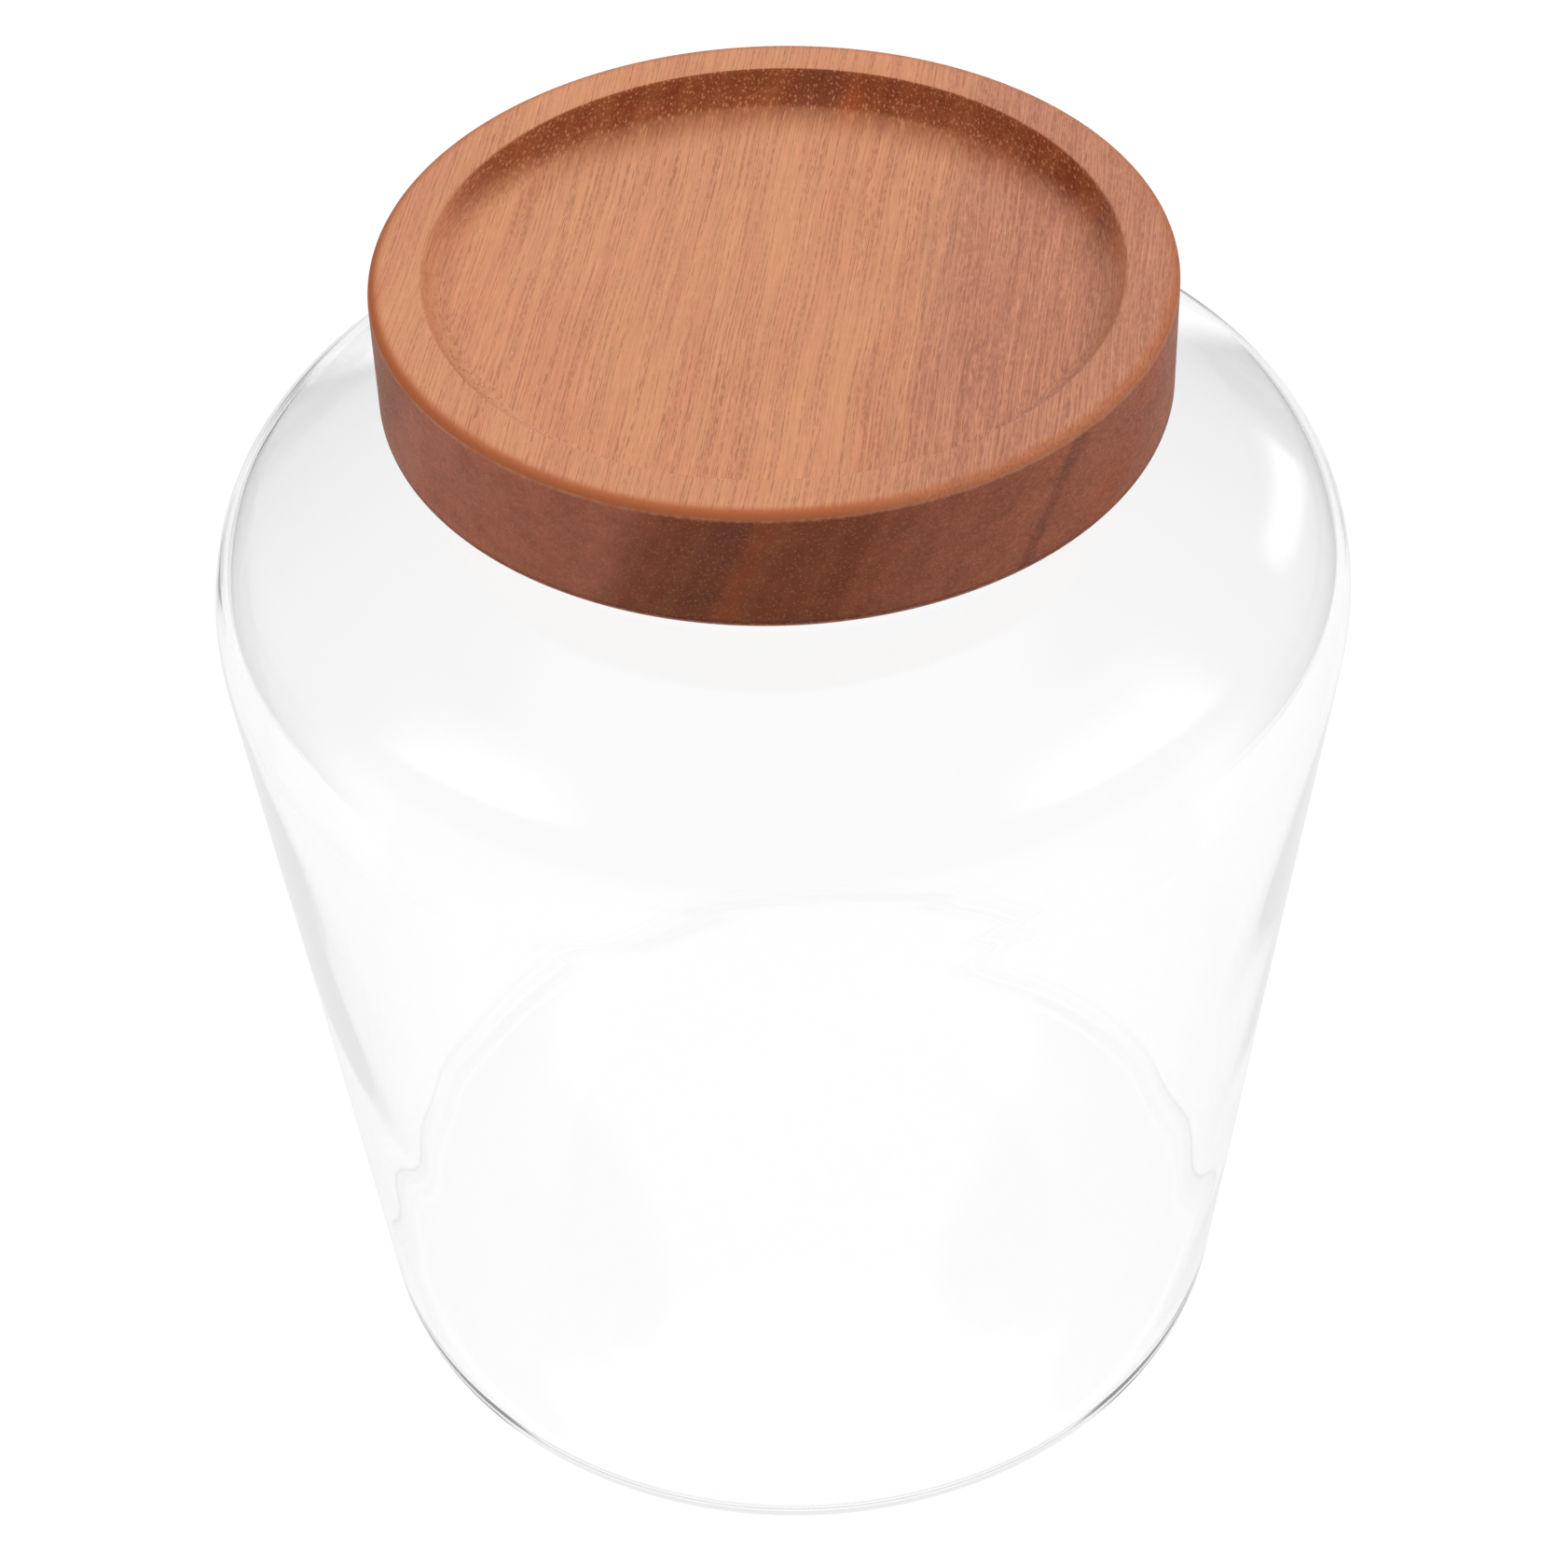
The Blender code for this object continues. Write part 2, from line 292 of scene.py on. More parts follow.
# Heights where they begin, are in full, begin to fade and end, and where they turn from outwards to upwards
WAVE_HEIGHTS = (12 * MM, 32 * MM, 165 * MM, 175 * MM)
DOME_HEIGHTS = (145 * MM, 165 * MM)
STRONGEST_AT, STRONG_SPREAD = 148 * MM, 20 * MM
OUTSIDE_SHARE = 0.25
LEAST_RADIUS = 30 * MM


def blown_wall(outline, turns):
    """Moves points out from the axis, and up on the dome, by a sum of waves.

    Each is size x cos(waves x angle + turn x z + start). The sum is in full on the inside and OUTSIDE_SHARE
    of that outside, up to twice as large round the shoulder, and nothing at the rim and the foot.
    """
    inside_points = (np.argmax(outline[:, 1]) - 1) * turns

    def shift(points):
        x, y, z = points.T
        angle = np.arctan2(y, x)
        waves = sum(size * np.cos(k * angle + turn * z + start) for size, k, turn, start in WALL_WAVES)
        waves *= np.interp(z, WAVE_HEIGHTS, (0, 1, 1, 0))
        waves *= 1 + np.exp(-(((z - STRONGEST_AT) / STRONG_SPREAD) ** 2))
        waves *= np.where(np.arange(len(points)) < inside_points, 1.0, OUTSIDE_SHARE)
        upwards = np.interp(z, DOME_HEIGHTS, (0, 1))
        out = 1 + waves * (1 - upwards) / np.maximum(np.hypot(x, y), LEAST_RADIUS)
        return np.stack([x * out, y * out, z + waves * upwards], 1)

    return shift


# Building blocks for materials

class Recipe:
    """Adds nodes to one tree. Values are numbers or sockets, and most methods give a node's output."""

    def __init__(self, tree):
        self.tree = tree

    def fill(self, made, values):
        """The node with its inputs set or linked, by name or number."""
        for key, value in values.items():
            if isinstance(value, bpy.types.NodeSocket):
                self.tree.links.new(value, made.inputs[key])
            else:
                made.inputs[key].default_value = value
        return made

    def node(self, kind, values=(), **settings):
        """A new node with its settings and its inputs."""
        made = self.tree.nodes.new(kind)
        for key, value in settings.items():
            setattr(made, key, value)
        return self.fill(made, dict(values))

    def maths(self, operation, *values):
        return self.node("ShaderNodeMath", dict(enumerate(values)), operation=operation).outputs[0]

    def times(self, first, second):
        return self.maths("MULTIPLY", first, second)

    def less(self, first, second):
        return self.maths("SUBTRACT", first, second)

    def larger(self, first, second):
        return self.maths("MAXIMUM", first, second)

    def scaled(self, value, factor, base):
        """The value times the factor, plus the base."""
        return self.maths("MULTIPLY_ADD", value, factor, base)

    def swing(self, noise, amount, middle):
        """The middle value plus a noise that swings by the amount from end to end."""
        return self.scaled(noise, amount, self.less(middle, amount / 2))

    def stretch(self, vector, factors):
        """The vector with each of its values times its own factor."""
        return self.node("ShaderNodeVectorMath", {0: vector, 1: factors}, operation="MULTIPLY").outputs[0]

    def dot(self, first, second):
        return self.node("ShaderNodeVectorMath", {0: first, 1: second}, operation="DOT_PRODUCT").outputs[1]

    def length(self, vector):
        return self.node("ShaderNodeVectorMath", {0: vector}, operation="LENGTH").outputs["Value"]

    def split(self, vector):
        """The x, y and z of a vector."""
        return self.node("ShaderNodeSeparateXYZ", {0: vector}).outputs

    def combine(self, x, y, z):
        return self.node("ShaderNodeCombineXYZ", {0: x, 1: y, 2: z}).outputs[0]

    def ramp(self, value, start, stop, low=0.0, high=1.0):
        """Smooth step from low at start to high at stop."""
        values = {0: value, 1: start, 2: stop, 3: low, 4: high}
        return self.node("ShaderNodeMapRange", values, interpolation_type="SMOOTHSTEP").outputs[0]

    def noise(self, where, scale=1.0, detail=2.0, roughness=0.5):
        """Noise value around 0.5 at the given place."""
        values = {"Vector": where, "Scale": scale, "Detail": detail, "Roughness": roughness}
        return self.node("ShaderNodeTexNoise", values).outputs[0]

    def colours(self, factor, first, second, mode="MIX"):
        """Two colours blended by the factor."""
        values = {0: factor, 6: first, 7: second}
        return self.node("ShaderNodeMix", values, data_type="RGBA", blend_type=mode).outputs[2]

    def blend(self, factor, first, second):
        """Two values blended by the factor."""
        return self.node("ShaderNodeMix", {0: factor, 2: first, 3: second}).outputs[0]

    def bump(self, height, strength, distance):
        values = {"Height": height, "Strength": strength, "Distance": distance}
        return self.node("ShaderNodeBump", values).outputs[0]

    def object_place(self):
        return self.node("ShaderNodeTexCoord").outputs["Object"]

    def light_path(self):
        return self.node("ShaderNodeLightPath").outputs


def new_material(name):
    """A material, the recipe of its tree and its Principled shader."""
    made = bpy.data.materials.new(name)
    made.use_nodes = True
    return made, Recipe(made.node_tree), made.node_tree.nodes["Principled BSDF"]


def new_group(name, inputs, outputs):
    """A node group's tree, its input sockets and its output node, from lists of (label, kind of socket)."""
    tree = bpy.data.node_groups.new(name, "ShaderNodeTree")
    for side, sockets in (("INPUT", inputs), ("OUTPUT", outputs)):
        for label, kind in sockets:
            tree.interface.new_socket(name=label, in_out=side, socket_type="NodeSocket" + kind)
    return tree, tree.nodes.new("NodeGroupInput").outputs, tree.nodes.new("NodeGroupOutput")


# Clear blown glass

FAINT_TINT = (0.994, 0.996, 0.996, 1)
NO_TINT = (1.0, 1.0, 1.0, 1)
GLASS_IOR = 1.5
MOST_BOUNCES = 5.5
WAVES_PER_METRE = (26.0, 26.0, 14.0)
HAZE_PER_METRE = (40.0, 40.0, 40.0)
FOOT_HEIGHTS = (0.035, 0.015)


def glass_material():
    """Clear glass with the slow waves of blowing on its faces.

    Shadow and diffuse rays pass straight through, and nearly all light does after more than MOST_BOUNCES.
    """
    made, recipe, shader = new_material("clear_glass")
    place = recipe.object_place()
    waves = recipe.noise(recipe.stretch(place, WAVES_PER_METRE), detail=1.0)
    haze = recipe.noise(recipe.stretch(place, HAZE_PER_METRE), detail=3.0)
    path = recipe.light_path()
    near_foot = recipe.ramp(recipe.split(place)[2], *FOOT_HEIGHTS, 0.9, 1.0)
    trapped = recipe.times(recipe.maths("GREATER_THAN", path["Ray Depth"], MOST_BOUNCES), near_foot)
    lighting = recipe.larger(path["Is Shadow Ray"], path["Is Diffuse Ray"])
    recipe.fill(shader, {
        "Base Color": recipe.colours(haze, FAINT_TINT, NO_TINT),
        "Roughness": recipe.ramp(haze, 0.55, 0.85, 0.0, 0.012),
        "Alpha": recipe.less(1.0, recipe.larger(trapped, lighting)),
        "Normal": recipe.bump(waves, 1.0, 0.12 * MM),
        "IOR": GLASS_IOR,
        "Transmission Weight": 1.0,
    })
    return made


# Oiled acacia, the fibre at an angle to Y and the growth layers at an angle to Z
FIBRE_LEAN = math.radians(8.3)
LAYER_LEAN = math.radians(21.5)
FIBRE_WAY = (math.sin(FIBRE_LEAN), math.cos(FIBRE_LEAN), 0.0)
CROSS_WAY = (math.cos(FIBRE_LEAN), -math.sin(FIBRE_LEAN), 0.0)

# Bands in the growth layers: breadth and length in mm, place in the noise
WIDE, MEDIUM, NARROW = (9.0, 60.0, 1.7), (3.4, 50.0, 5.1), (0.8, 30.0, 9.3)

# Where each thing begins and is in full, in mm: by reach, by distance along the fibre, by layer and by height
# The third pair is where the painted shade on the outer rounding begins and is in full
SIDE_REACH, DISH_REACH, EDGE_SHADE_REACH = (53.0, 55.0), (54.0, 52.0), (55.3, 57.0)
# Painted shade over the far cove: reach where it begins and is in full, reach where it ends at the dish's
# opening, and distance along the fibre
COVE_SHADE_REACH, COVE_SHADE_END_REACH, COVE_SHADE_ALONG = (37.0, 50.0), (50.1, 49.6), (15.0, 38.0)
DARK_LAYERS = (12.0, 30.0)
# Heights of the painted shade along the bottom of the lid's side
BOTTOM_SHADE_HEIGHTS = (-17.9, -18.9)

# Colours where the wood is cut along its fibre, with the painted shade and painted highlight of its roundings
PALE_BAND = (0.715, 0.318, 0.162, 1)
ROSY_BAND = (0.698, 0.292, 0.157, 1)
WIDE_BAND = (0.560, 0.205, 0.110, 1)
NARROW_BAND = (0.500, 0.195, 0.110, 1)
GREY_PINK = (0.500, 0.208, 0.136, 1)
PORE_BROWN = (0.270, 0.100, 0.070, 1)
# Painted shade, deep and saturated like bounced light, on the outer rounding and the steep cove
PAINTED_EDGE_SHADE = (0.480, 0.130, 0.044, 1)
# Painted highlight: the pale glint along the lower part of the outer rounding
PAINTED_GLINT = (0.620, 0.320, 0.215, 1)

# Colours where the wood is cut across its fibre
RED_BROWN = (0.300, 0.078, 0.026, 1)
DEEP_BROWN = (0.238, 0.052, 0.017, 1)
# Painted shade along the bottom of the lid's side
PAINTED_BOTTOM_SHADE = (0.070, 0.022, 0.014, 1)
CUT_VESSEL = (0.540, 0.210, 0.095, 1)

# Growth layers that show there: middle, half breadth and softness in mm, strength, colour, side only
SINGLE_LAYERS = (
    (-25.0, 13.0, 7.0, 0.85, (0.460, 0.140, 0.078, 1), True),
    (44.0, 13.0, 14.0, 0.6, (0.420, 0.132, 0.074, 1), True),
    (1.3, 1.4, 3.0, 0.32, (0.110, 0.036, 0.026, 1), False),
    (6.7, 0.5, 1.3, 0.5, (0.380, 0.078, 0.020, 1), False),
    (43.3, 0.3, 0.9, 0.45, (0.120, 0.040, 0.030, 1), False),
    (51.5, 0.8, 1.8, 0.4, (0.380, 0.085, 0.030, 1), False),
)


class Board(Recipe):
    """Recipe for the board that the lid is turned from, at one place in the lid.

    Distances are in millimetres: along and across the fibre, height from the lid's top, reach from its axis,
    and layer, which is across x cos(lean) - height x sin(lean). Level is how flat the face lies, end how far
    it looks along the fibre, side one outside the dish, and dark side one in the darker layers.
    """

    def __init__(self, tree, place, normal):
        super().__init__(tree)
        self.along = self.dot(place, FIBRE_WAY)
        self.height = self.less(self.split(place)[2], (LID_SEAT + LID_THICKNESS) / MM)
        self.reach = self.length(self.stretch(place, (1, 1, 0)))
        self.level = self.maths("ABSOLUTE", self.split(normal)[2])
        self.end = self.dot(normal, FIBRE_WAY)
        straight = self.dot(place, CROSS_WAY)
        bend = self.noise(self.combine(self.times(straight, 0.02), self.times(self.along, 0.014), 3.0))
        ripple = self.noise(self.combine(self.times(straight, 0.07), self.times(self.along, 0.06), 7.0))
        self.across = self.swing(ripple, 0.4, self.swing(bend, 3.2, straight))
        flat = self.times(self.across, math.cos(LAYER_LEAN))
        self.layer = self.less(flat, self.times(self.height, math.sin(LAYER_LEAN)))
        self.side = self.ramp(self.reach, *SIDE_REACH)
        self.dark_side = self.ramp(self.layer, *DARK_LAYERS)
        self.wide, self.medium, self.narrow = (self.bands(*band) for band in (WIDE, MEDIUM, NARROW))

    def grain(self, across, along, height):
        """Place with each distance times its factor."""
        return self.combine(
            self.times(self.across, across), self.times(self.along, along), self.times(self.height, height)
        )

    def cells(self, width, length, offset):
        """Place in cells of the given width across and length along the fibre."""
        across = self.scaled(self.across, 1 / width, offset)
        return self.combine(across, self.times(self.along, 1 / length), self.times(self.height, 1 / width))

    def bands(self, width, length, seed):
        """Noise in growth layers of the given width, which changes over the length along the fibre."""
        where = self.combine(self.times(self.layer, 1 / width), self.times(self.along, 1 / length), seed)
        return self.noise(where, detail=1.5)

    def near_layer(self, middle, half, soft):
        """One within half a width of the middle layer, zero further off."""
        off = self.maths("ABSOLUTE", self.less(self.layer, middle))
        return self.ramp(off, half, half + soft, 1.0, 0.0)

    def cut_vessels(self, width, length, offset, size, share):
        """Vessels cut open here, long along the fibre, in that share of the cells."""
        values = {"Vector": self.cells(width, length, offset), "Scale": 1.0, "Randomness": 1.0}
        cell = self.node("ShaderNodeTexVoronoi", values).outputs
        chosen = self.maths("LESS_THAN", self.split(cell["Color"])[0], share)
        return self.times(self.ramp(cell["Distance"], size, size * 0.45), chosen)

    def lines(self, width, length, offset, least):
        """Thin lines along the fibre, where a slender noise is above the least value."""
        line = self.noise(self.cells(width, length, offset), detail=0.0)
        return self.ramp(self.less(line, least), 0.0, 0.07)

    def dashes(self, width, length, offset):
        """One and zero by turns along the fibre."""
        return self.ramp(self.noise(self.cells(width, length, offset), detail=1.0), 0.42, 0.6)


def pore_lines(board):
    """Coarse and fine pores along the fibre, denser on the dark side."""
    crowd = board.scaled(board.ramp(board.medium, 0.35, 0.7), 0.3, 0.08)
    crowd = board.scaled(board.dark_side, 0.55, crowd)
    coarse = board.lines(0.3, 60.0, 0.0, board.scaled(crowd, -0.2, 0.7))
    coarse = board.times(coarse, board.dashes(0.5, 2.6, 40.0))
    fine = board.lines(0.24, 40.0, 31.0, board.scaled(crowd, -0.2, 0.6))
    fine = board.times(fine, board.scaled(board.dashes(0.4, 1.3, 71.0), 0.65, 0.35))
    return board.larger(board.times(coarse, 0.8), board.times(fine, 0.62))


def fibre_shade(board, fibre):
    """Light and dark round one, from the fine fibre, its streaks and flecks, stronger on the dark side."""
    streak = board.noise(board.cells(0.42, 26.0, 17.0), detail=3.0, roughness=0.66)
    fleck = board.noise(board.grain(0.3, 1.6, 0.3), detail=1.0)
    tone = board.swing(streak, 0.42, board.swing(fibre, 0.56, 0.0))
    tone = board.scaled(tone, board.scaled(board.dark_side, 0.7, 0.9), 1.0)
    tone = board.swing(fleck, 0.07, tone)
    return board.combine(tone, tone, tone)


def colour_along(board, shade, pores):
    """Colour where the wood is cut along its fibre: light bands, greyer pink on the dark side, and painted
    shade on the outer rounding and steep faces.
    """
    light = board.colours(board.ramp(board.medium, 0.36, 0.64), PALE_BAND, ROSY_BAND)
    light = board.colours(board.times(board.ramp(board.wide, 0.3, 0.7), 0.12), light, WIDE_BAND)
    light = board.colours(board.times(board.ramp(board.narrow, 0.45, 0.8), 0.1), light, NARROW_BAND)
    light = board.colours(board.times(board.dark_side, 0.55), light, GREY_PINK)
    light = board.colours(1.0, light, shade, "MULTIPLY")
    light = board.colours(board.times(pores, 0.62), light, PORE_BROWN)
    # Painted shade: strong on the outer rounding, less in the darker layers, and up to 0.8 on steep faces
    # such as the cove
    edge_shade = board.times(board.ramp(board.reach, *EDGE_SHADE_REACH), board.scaled(board.dark_side, -0.4, 0.92))
    edge_shade = board.larger(edge_shade, board.ramp(board.level, 0.6, 0.25, 0.0, 0.8))
    return board.colours(edge_shade, light, PAINTED_EDGE_SHADE)


def colour_across(board, shade):
    """Colour where the wood is cut across its fibre: darker and redder, with cut vessels as light dots and a
    painted shade along the bottom of the lid's side.
    """
    dark = board.colours(board.ramp(board.medium, 0.3, 0.7), RED_BROWN, DEEP_BROWN)
    for middle, half, soft, strength, tint, only_side in SINGLE_LAYERS:
        share = board.times(board.near_layer(middle, half, soft), strength)
        if only_side:
            share = board.times(share, board.side)
        dark = board.colours(share, dark, tint)
    dark = board.colours(1.0, dark, shade, "MULTIPLY")
    pith = board.noise(board.grain(1.3, 0.5, 1.3), detail=3.5, roughness=0.7)
    cloud = board.noise(board.grain(0.22, 0.1, 0.3))
    mottle = board.scaled(pith, 0.75, board.scaled(cloud, 0.5, 0.375))
    dark = board.colours(1.0, dark, board.combine(mottle, mottle, mottle), "MULTIPLY")
    # Painted shade over the lowest millimetre of the side
    dark = board.colours(board.times(board.ramp(board.height, *BOTTOM_SHADE_HEIGHTS), 0.75), dark, PAINTED_BOTTOM_SHADE)
    large, small = board.cut_vessels(0.55, 9.0, 0.0, 0.4, 0.9), board.cut_vessels(0.32, 6.0, 31.0, 0.4, 0.8)
    dots = board.larger(large, board.times(small, 0.6))
    dish = board.ramp(board.reach, *DISH_REACH)
    return board.colours(board.times(dots, board.scaled(dish, 0.4, 0.38)), dark, CUT_VESSEL)


def end_grain_and_shade(board):
    """Share of the dark end-grain colour: where the cove looks along the fibre, more on its far side than its
    near one, which is partly painted shade; as painted shade over the far part of the dish and cove; and on
    the lid's side.
    """
    # Faces that look one way along the fibre count from 0, the other way only from 0.35: the far side of the
    # cove is darker than the near side, which is painted shade
    cut = board.larger(board.ramp(board.end, 0.0, -0.46), board.ramp(board.end, 0.35, 0.9))
    # Painted shade over the far part of the dish and cove
    far_cove_shade = board.times(board.ramp(board.reach, *COVE_SHADE_REACH), board.ramp(board.along, *COVE_SHADE_ALONG))
    far_cove_shade = board.times(far_cove_shade, board.ramp(board.reach, *COVE_SHADE_END_REACH))
    cut = board.larger(cut, board.times(far_cove_shade, 0.95))
    cut = board.times(cut, board.less(1.0, board.side))
    return board.larger(cut, board.times(board.ramp(board.level, 0.35, 0.1), board.side))


def painted_glint_on_rounding(board):
    """Share of painted highlight: a pale glint on the lower part of the outer rounding, stronger in some
    narrow layers.
    """
    glint = board.times(board.ramp(board.level, 0.45, 0.28), board.ramp(board.level, 0.04, 0.16))
    glint = board.times(glint, board.side)
    return board.times(glint, board.ramp(board.narrow, 0.35, 0.65, 0.12, 0.42))


def acacia_group():
    """Solid acacia: colour with painted shade and a painted highlight, share of end grain and painted shade,
    pores and fine fibre at a place in the lid, in millimetres.
    """
    tree, given, wanted = new_group(
        "acacia_figure", [("Place", "Vector"), ("Normal", "Vector")],
        [("Color", "Color"), ("End Grain And Shade", "Float"), ("Pores", "Float"), ("Fibre", "Float")],
    )
    board = Board(tree, given["Place"], given["Normal"])
    pores = pore_lines(board)
    fibre = board.noise(board.cells(0.17, 4.0, 11.0), roughness=0.6)
    shade = fibre_shade(board, fibre)
    # cut is the share of end grain, with the painted shade of the far cove in it
    cut = end_grain_and_shade(board)
    colour = board.colours(cut, colour_along(board, shade, pores), colour_across(board, shade))
    # Painted highlight along the lower part of the outer rounding
    colour = board.colours(painted_glint_on_rounding(board), colour, PAINTED_GLINT)
    board.fill(wanted, {"Color": colour, "End Grain And Shade": cut, "Pores": pores, "Fibre": fibre})
    return tree


def wood_material():
    """Turned acacia with a thin coat of oil: dark pores along the fibre, denser towards one side."""
    made, recipe, shader = new_material("acacia_wood")
    spot = recipe.node("ShaderNodeTexCoord").outputs
    values = {"Place": recipe.stretch(spot["Object"], (1 / MM, 1 / MM, 1 / MM)), "Normal": spot["Normal"]}
    figure = recipe.node("ShaderNodeGroup", values, node_tree=acacia_group()).outputs
    rough = recipe.blend(recipe.noise(spot["Object"], 55.0, 3.0), 0.36, 0.48)
    rough = recipe.scaled(figure["Pores"], 0.18, rough)
    relief = recipe.less(recipe.times(figure["Fibre"], 0.12), figure["Pores"])
    recipe.fill(shader, {
        "Base Color": figure["Color"],
        "Roughness": recipe.scaled(figure["End Grain And Shade"], 0.05, rough),
        "Normal": recipe.bump(relief, 0.5, 0.04 * MM),
        "Specular IOR Level": 0.2,
    })
    return made


# Milky silicone

GREY_MILK = (0.80, 0.82, 0.82, 1)
WHITE_MILK = (0.90, 0.91, 0.90, 1)


def silicone_material():
    """Soft milky silicone with faint clouds and a fine dull skin."""
    made, recipe, shader = new_material("silicone")
    place = recipe.object_place()
    skin = recipe.noise(place, 2600.0)
    recipe.fill(shader, {
        "Base Color": recipe.colours(recipe.noise(place, 90.0, 3.0), GREY_MILK, WHITE_MILK),
        "Roughness": recipe.blend(skin, 0.42, 0.58),
        "Normal": recipe.bump(skin, 0.4, 0.03 * MM),
    })
    return made


# Pieces

def carry(piece, node_name, finish):
    """Gives the piece its material and puts it in the place of a solid, on that solid's body."""
    body = {name: body for body, names in frame["record"]["behaviour"]["bodies"].items() for name in names}
    piece.data.materials.append(finish)
    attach(piece, body[node_name])
    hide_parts(node_name)


vessel_outline = split_long(glass_outline(), VESSEL_STEP)
vessel = turned_mesh("vessel", vessel_outline, GLASS_TURNS, shift=blown_wall(vessel_outline, GLASS_TURNS))
carry(vessel, "glass_jar", glass_material())
lid = turned_mesh("lid", split_long(lid_outline(), LID_STEP), WOOD_TURNS)
carry(lid, "wooden_lid", wood_material())
seal = turned_mesh("seal", seal_outline(), WOOD_TURNS, closed=True)
carry(seal, "seal_ring", silicone_material())


# Studio, in metres

TABLE_HALF_WIDTH, TABLE_NEAR, TABLE_FAR, TABLE_HEIGHT = 0.45, -0.9, 1.2, -0.1 * MM
TABLE_GREY = (0.8, 0.8, 0.8, 1)
TABLE_SHADE = (0.12, 0.12, 0.12, 1)
WHITE = (1, 1, 1, 1)

# How bright the table glows: to the camera, through glass, and mirrored, in front of the jar and behind it
TABLE_SEEN, TABLE_THROUGH, TABLE_MIRRORED_FRONT, TABLE_MIRRORED_BACK = 0.95, 0.90, 0.94, 0.8
FRONT_TO_BACK = (-0.07, 0.0)

# Two area lights: azimuth, elevation, radiance
SOFT_BOXES = {"soft_box_left": (-97, 53, 3.7), "soft_box_right": (90, 46, 4.9)}
SOFT_BOX_DISTANCE, SOFT_BOX_WIDTH, SOFT_BOX_HEIGHT, SOFT_BOX_AIM = 1.2, 0.8, 0.6, 0.12

# Each lit panel as the jar mirrors it: azimuth and elevation of both ends, half breadth, softness, radiance
PANELS = (
    (-116, 60, -82, 44, 0.08, 0.14, 2.0),
    (113, 56, 75, 40, 0.08, 0.14, 2.0),
    (53, 26, 38, 10, 0.018, 0.03, 1.8),
)
PANEL_LEAST_AHEAD = 0.05

# Brightness of the room's parts, and of the even light
DARK_ROOM, LIT_ROOM, LOW_ROOM, BACKDROP = 0.14, 0.55, 0.95, 1.0
FILL_LIGHT = 0.3

# Where they begin and are in full, by a direction's height, its way ahead and its slant aside
OVERHEAD, IN_FRONT, LIT_HEIGHTS = (0.78, 0.93), (0.25, -0.2), (0.0, 0.5)
STRIP_HEIGHT, OFF_THE_STRIP = 0.08, (0.03, 0.06)
BACKDROP_ASIDE, BACKDROP_AHEAD, BACKDROP_LEAST_AHEAD = (0.46, 0.38), (0.3, 0.45), 0.02


def direction(azimuth, elevation):
    """Unit vector for an azimuth from +Y towards +X and an elevation, in degrees."""
    a, e = math.radians(azimuth), math.radians(elevation)
    return Vector((math.sin(a) * math.cos(e), math.cos(a) * math.cos(e), math.sin(e)))


def white_table():
    """White to rays that show it, straight, mirrored or through glass, and a plain grey to the rest."""
    made = bpy.data.materials.new("white_table")
    made.use_nodes = True
    made.node_tree.nodes.clear()
    recipe = Recipe(made.node_tree)
    plain = recipe.node("ShaderNodeBsdfDiffuse", {"Color": TABLE_GREY})
    shaded = recipe.node("ShaderNodeBsdfDiffuse", {"Color": TABLE_SHADE})
    back = recipe.split(recipe.object_place())[1]
    mirrored = recipe.ramp(back, *FRONT_TO_BACK, TABLE_MIRRORED_FRONT, TABLE_MIRRORED_BACK)
    path = recipe.light_path()
    off_a_face = recipe.times(path["Is Glossy Ray"], recipe.less(1.0, path["Is Transmission Ray"]))
    strength = recipe.blend(off_a_face, TABLE_THROUGH, mirrored)
    strength = recipe.blend(path["Is Camera Ray"], strength, TABLE_SEEN)
    glow = recipe.node("ShaderNodeEmission", {"Color": WHITE, "Strength": strength})
    bright = recipe.node("ShaderNodeAddShader", {0: shaded.outputs[0], 1: glow.outputs[0]})
    shown = recipe.larger(path["Is Camera Ray"], path["Is Glossy Ray"])
    shown = recipe.larger(shown, path["Is Transmission Ray"])
    mix = recipe.node("ShaderNodeMixShader", {0: shown, 1: plain.outputs[0], 2: bright.outputs[0]})
    recipe.node("ShaderNodeOutputMaterial", {"Surface": mix.outputs[0]})
    return made


def table_top():
    """Flat table just under the jar's foot."""
    mesh = bpy.data.meshes.new("table_top")
    left, right = -TABLE_HALF_WIDTH, TABLE_HALF_WIDTH
    corners = [(left, TABLE_NEAR), (right, TABLE_NEAR), (right, TABLE_FAR), (left, TABLE_FAR)]
    mesh.from_pydata([(x, y, TABLE_HEIGHT) for x, y in corners], [], [(0, 1, 2, 3)])
    table = bpy.data.objects.new("table_top", mesh)
    bpy.context.scene.collection.objects.link(table)
    table.data.materials.append(white_table())


def soft_box(name, azimuth, elevation, radiance):
    """Area light that faces the jar, with its radiance in units where a white surface lit at 1 shows as 1."""
    data = bpy.data.lights.new(name, "AREA")
    data.shape = "RECTANGLE"
    data.size, data.size_y = SOFT_BOX_WIDTH, SOFT_BOX_HEIGHT
    data.energy = radiance * math.pi * SOFT_BOX_WIDTH * SOFT_BOX_HEIGHT
    box = bpy.data.objects.new(name, data)
    bpy.context.scene.collection.objects.link(box)
    way = direction(azimuth, elevation)
    box.location = way * SOFT_BOX_DISTANCE + Vector((0, 0, SOFT_BOX_AIM))
    box.rotation_mode = "QUATERNION"
    box.rotation_quaternion = way.to_track_quat("Z", "Y")
    box.visible_camera = False
    box.visible_glossy = False
    box.visible_transmission = False


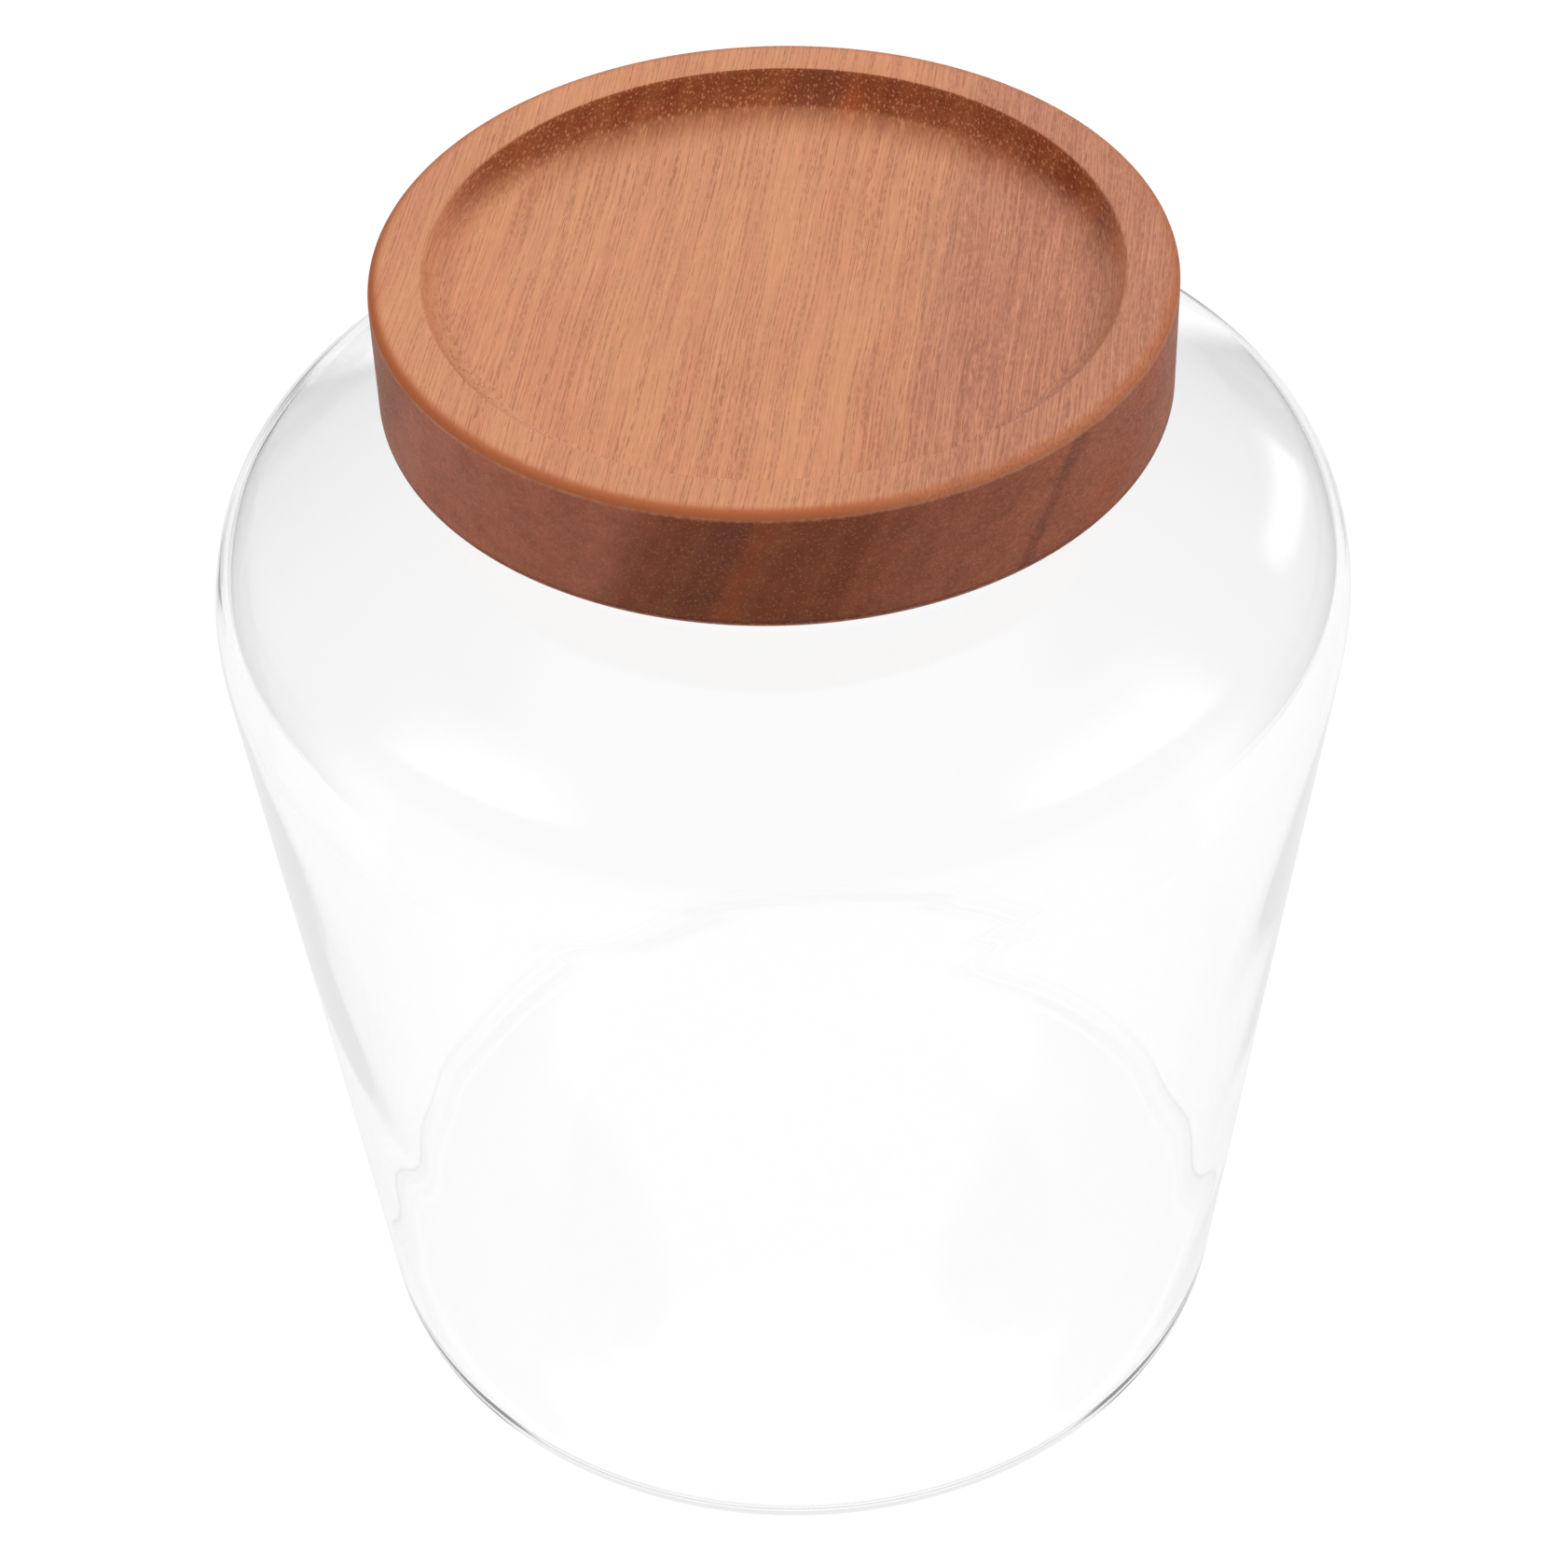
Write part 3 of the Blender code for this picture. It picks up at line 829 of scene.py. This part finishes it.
def mirrored_box_group():
    """Soft-edged rectangle in the surroundings: one inside, zero outside, seen along a direction."""
    tree, given, wanted = new_group(
        "mirrored_box",
        [(label, "Vector") for label in ("Direction", "Facing", "Across", "Upwards")]
        + [(label, "Float") for label in ("Half Width", "Half Height", "Softness")],
        [("Share", "Float")],
    )
    recipe = Recipe(tree)
    ahead = recipe.dot(given["Direction"], given["Facing"])
    share = recipe.maths("GREATER_THAN", ahead, PANEL_LEAST_AHEAD)
    for way, half in (("Across", "Half Width"), ("Upwards", "Half Height")):
        aside = recipe.maths("ABSOLUTE", recipe.dot(given["Direction"], given[way]))
        aside = recipe.maths("DIVIDE", aside, recipe.larger(ahead, PANEL_LEAST_AHEAD))
        inner = recipe.less(given[half], given["Softness"])
        outer = recipe.maths("ADD", given[half], given["Softness"])
        share = recipe.times(share, recipe.ramp(aside, inner, outer, 1.0, 0.0))
    recipe.fill(wanted, {"Share": share})
    return tree


def room_level(recipe, way):
    """Brightness of the room along a direction, without its panels.

    It is lit in front and overhead, dark elsewhere with a black strip just above the horizon, and has a
    narrow white backdrop.
    """
    sideways, ahead, height = recipe.split(way)
    well_lit = recipe.larger(recipe.ramp(height, *OVERHEAD), recipe.ramp(ahead, *IN_FRONT))
    lit = recipe.ramp(height, *LIT_HEIGHTS, LOW_ROOM, LIT_ROOM)
    off_strip = recipe.maths("ABSOLUTE", recipe.less(height, STRIP_HEIGHT))
    dark = recipe.ramp(off_strip, *OFF_THE_STRIP, 0.0, DARK_ROOM)
    room = recipe.blend(well_lit, dark, lit)
    ahead_enough = recipe.larger(ahead, BACKDROP_LEAST_AHEAD)
    aside = recipe.maths("DIVIDE", recipe.maths("ABSOLUTE", sideways), ahead_enough)
    backdrop = recipe.times(recipe.ramp(aside, *BACKDROP_ASIDE), recipe.ramp(ahead, *BACKDROP_AHEAD))
    return recipe.blend(backdrop, room, BACKDROP)


def studio_world():
    """White to the camera, the room and its panels to rays off or through glass, even light to the rest."""
    world = bpy.data.worlds.new("studio")
    bpy.context.scene.world = world
    world.use_nodes = True
    world.node_tree.nodes.clear()
    recipe = Recipe(world.node_tree)
    way = recipe.node("ShaderNodeTexCoord").outputs["Generated"]
    level = room_level(recipe, way)
    boxes = mirrored_box_group()
    for azimuth, elevation, far_azimuth, far_elevation, breadth, softness, radiance in PANELS:
        first, last = direction(azimuth, elevation), direction(far_azimuth, far_elevation)
        facing, along = (first + last).normalized(), (last - first).normalized()
        values = {
            "Direction": way, "Facing": facing, "Across": along, "Upwards": facing.cross(along),
            "Half Width": math.tan(first.angle(last) / 2), "Half Height": breadth, "Softness": softness,
        }
        panel = recipe.node("ShaderNodeGroup", values, node_tree=boxes).outputs[0]
        level = recipe.blend(panel, level, radiance)
    path = recipe.light_path()
    level = recipe.blend(recipe.larger(path["Is Glossy Ray"], path["Is Transmission Ray"]), FILL_LIGHT, level)
    level = recipe.blend(path["Is Camera Ray"], level, 1.0)
    back = recipe.node("ShaderNodeBackground", {"Color": WHITE, "Strength": level})
    recipe.node("ShaderNodeOutputWorld", {"Surface": back.outputs[0]})


table_top()
for name, setting in SOFT_BOXES.items():
    soft_box(name, *setting)
studio_world()


# Camera, fitted to the photo: its focal length in pixels of the photo's width, its place and its angles

PHOTO_WIDTH_PIXELS = 1682
FOCAL_PIXELS = 4100
SENSOR_WIDTH_MM = 36.0
CAMERA_PLACE = (0.0, -0.44738, 0.51375)
PITCH, YAW, ROLL = 0.7466, -0.0017, -0.0311
NEAREST, FARTHEST = 0.01, 50


def camera_turn(pitch, yaw, roll):
    """Turn of a camera that looks down by pitch from +Y, turned right by yaw and then rolled, in radians."""
    forward = Vector((math.sin(yaw) * math.cos(pitch), math.cos(yaw) * math.cos(pitch), -math.sin(pitch)))
    level_right = Vector((math.cos(yaw), -math.sin(yaw), 0))
    level_up = level_right.cross(forward)
    right = math.cos(roll) * level_right + math.sin(roll) * level_up
    up = -math.sin(roll) * level_right + math.cos(roll) * level_up
    return Matrix((right, up, -forward)).transposed().to_4x4()


camera_data = bpy.data.cameras.new("camera")
camera_data.sensor_width = SENSOR_WIDTH_MM
camera_data.lens = SENSOR_WIDTH_MM * FOCAL_PIXELS / PHOTO_WIDTH_PIXELS
camera_data.clip_start, camera_data.clip_end = NEAREST, FARTHEST
camera = bpy.data.objects.new("camera", camera_data)
bpy.context.scene.collection.objects.link(camera)
bpy.context.scene.camera = camera
camera.matrix_world = Matrix.Translation(CAMERA_PLACE) @ camera_turn(PITCH, YAW, ROLL)

bpy.context.scene.view_settings.view_transform = "Standard"
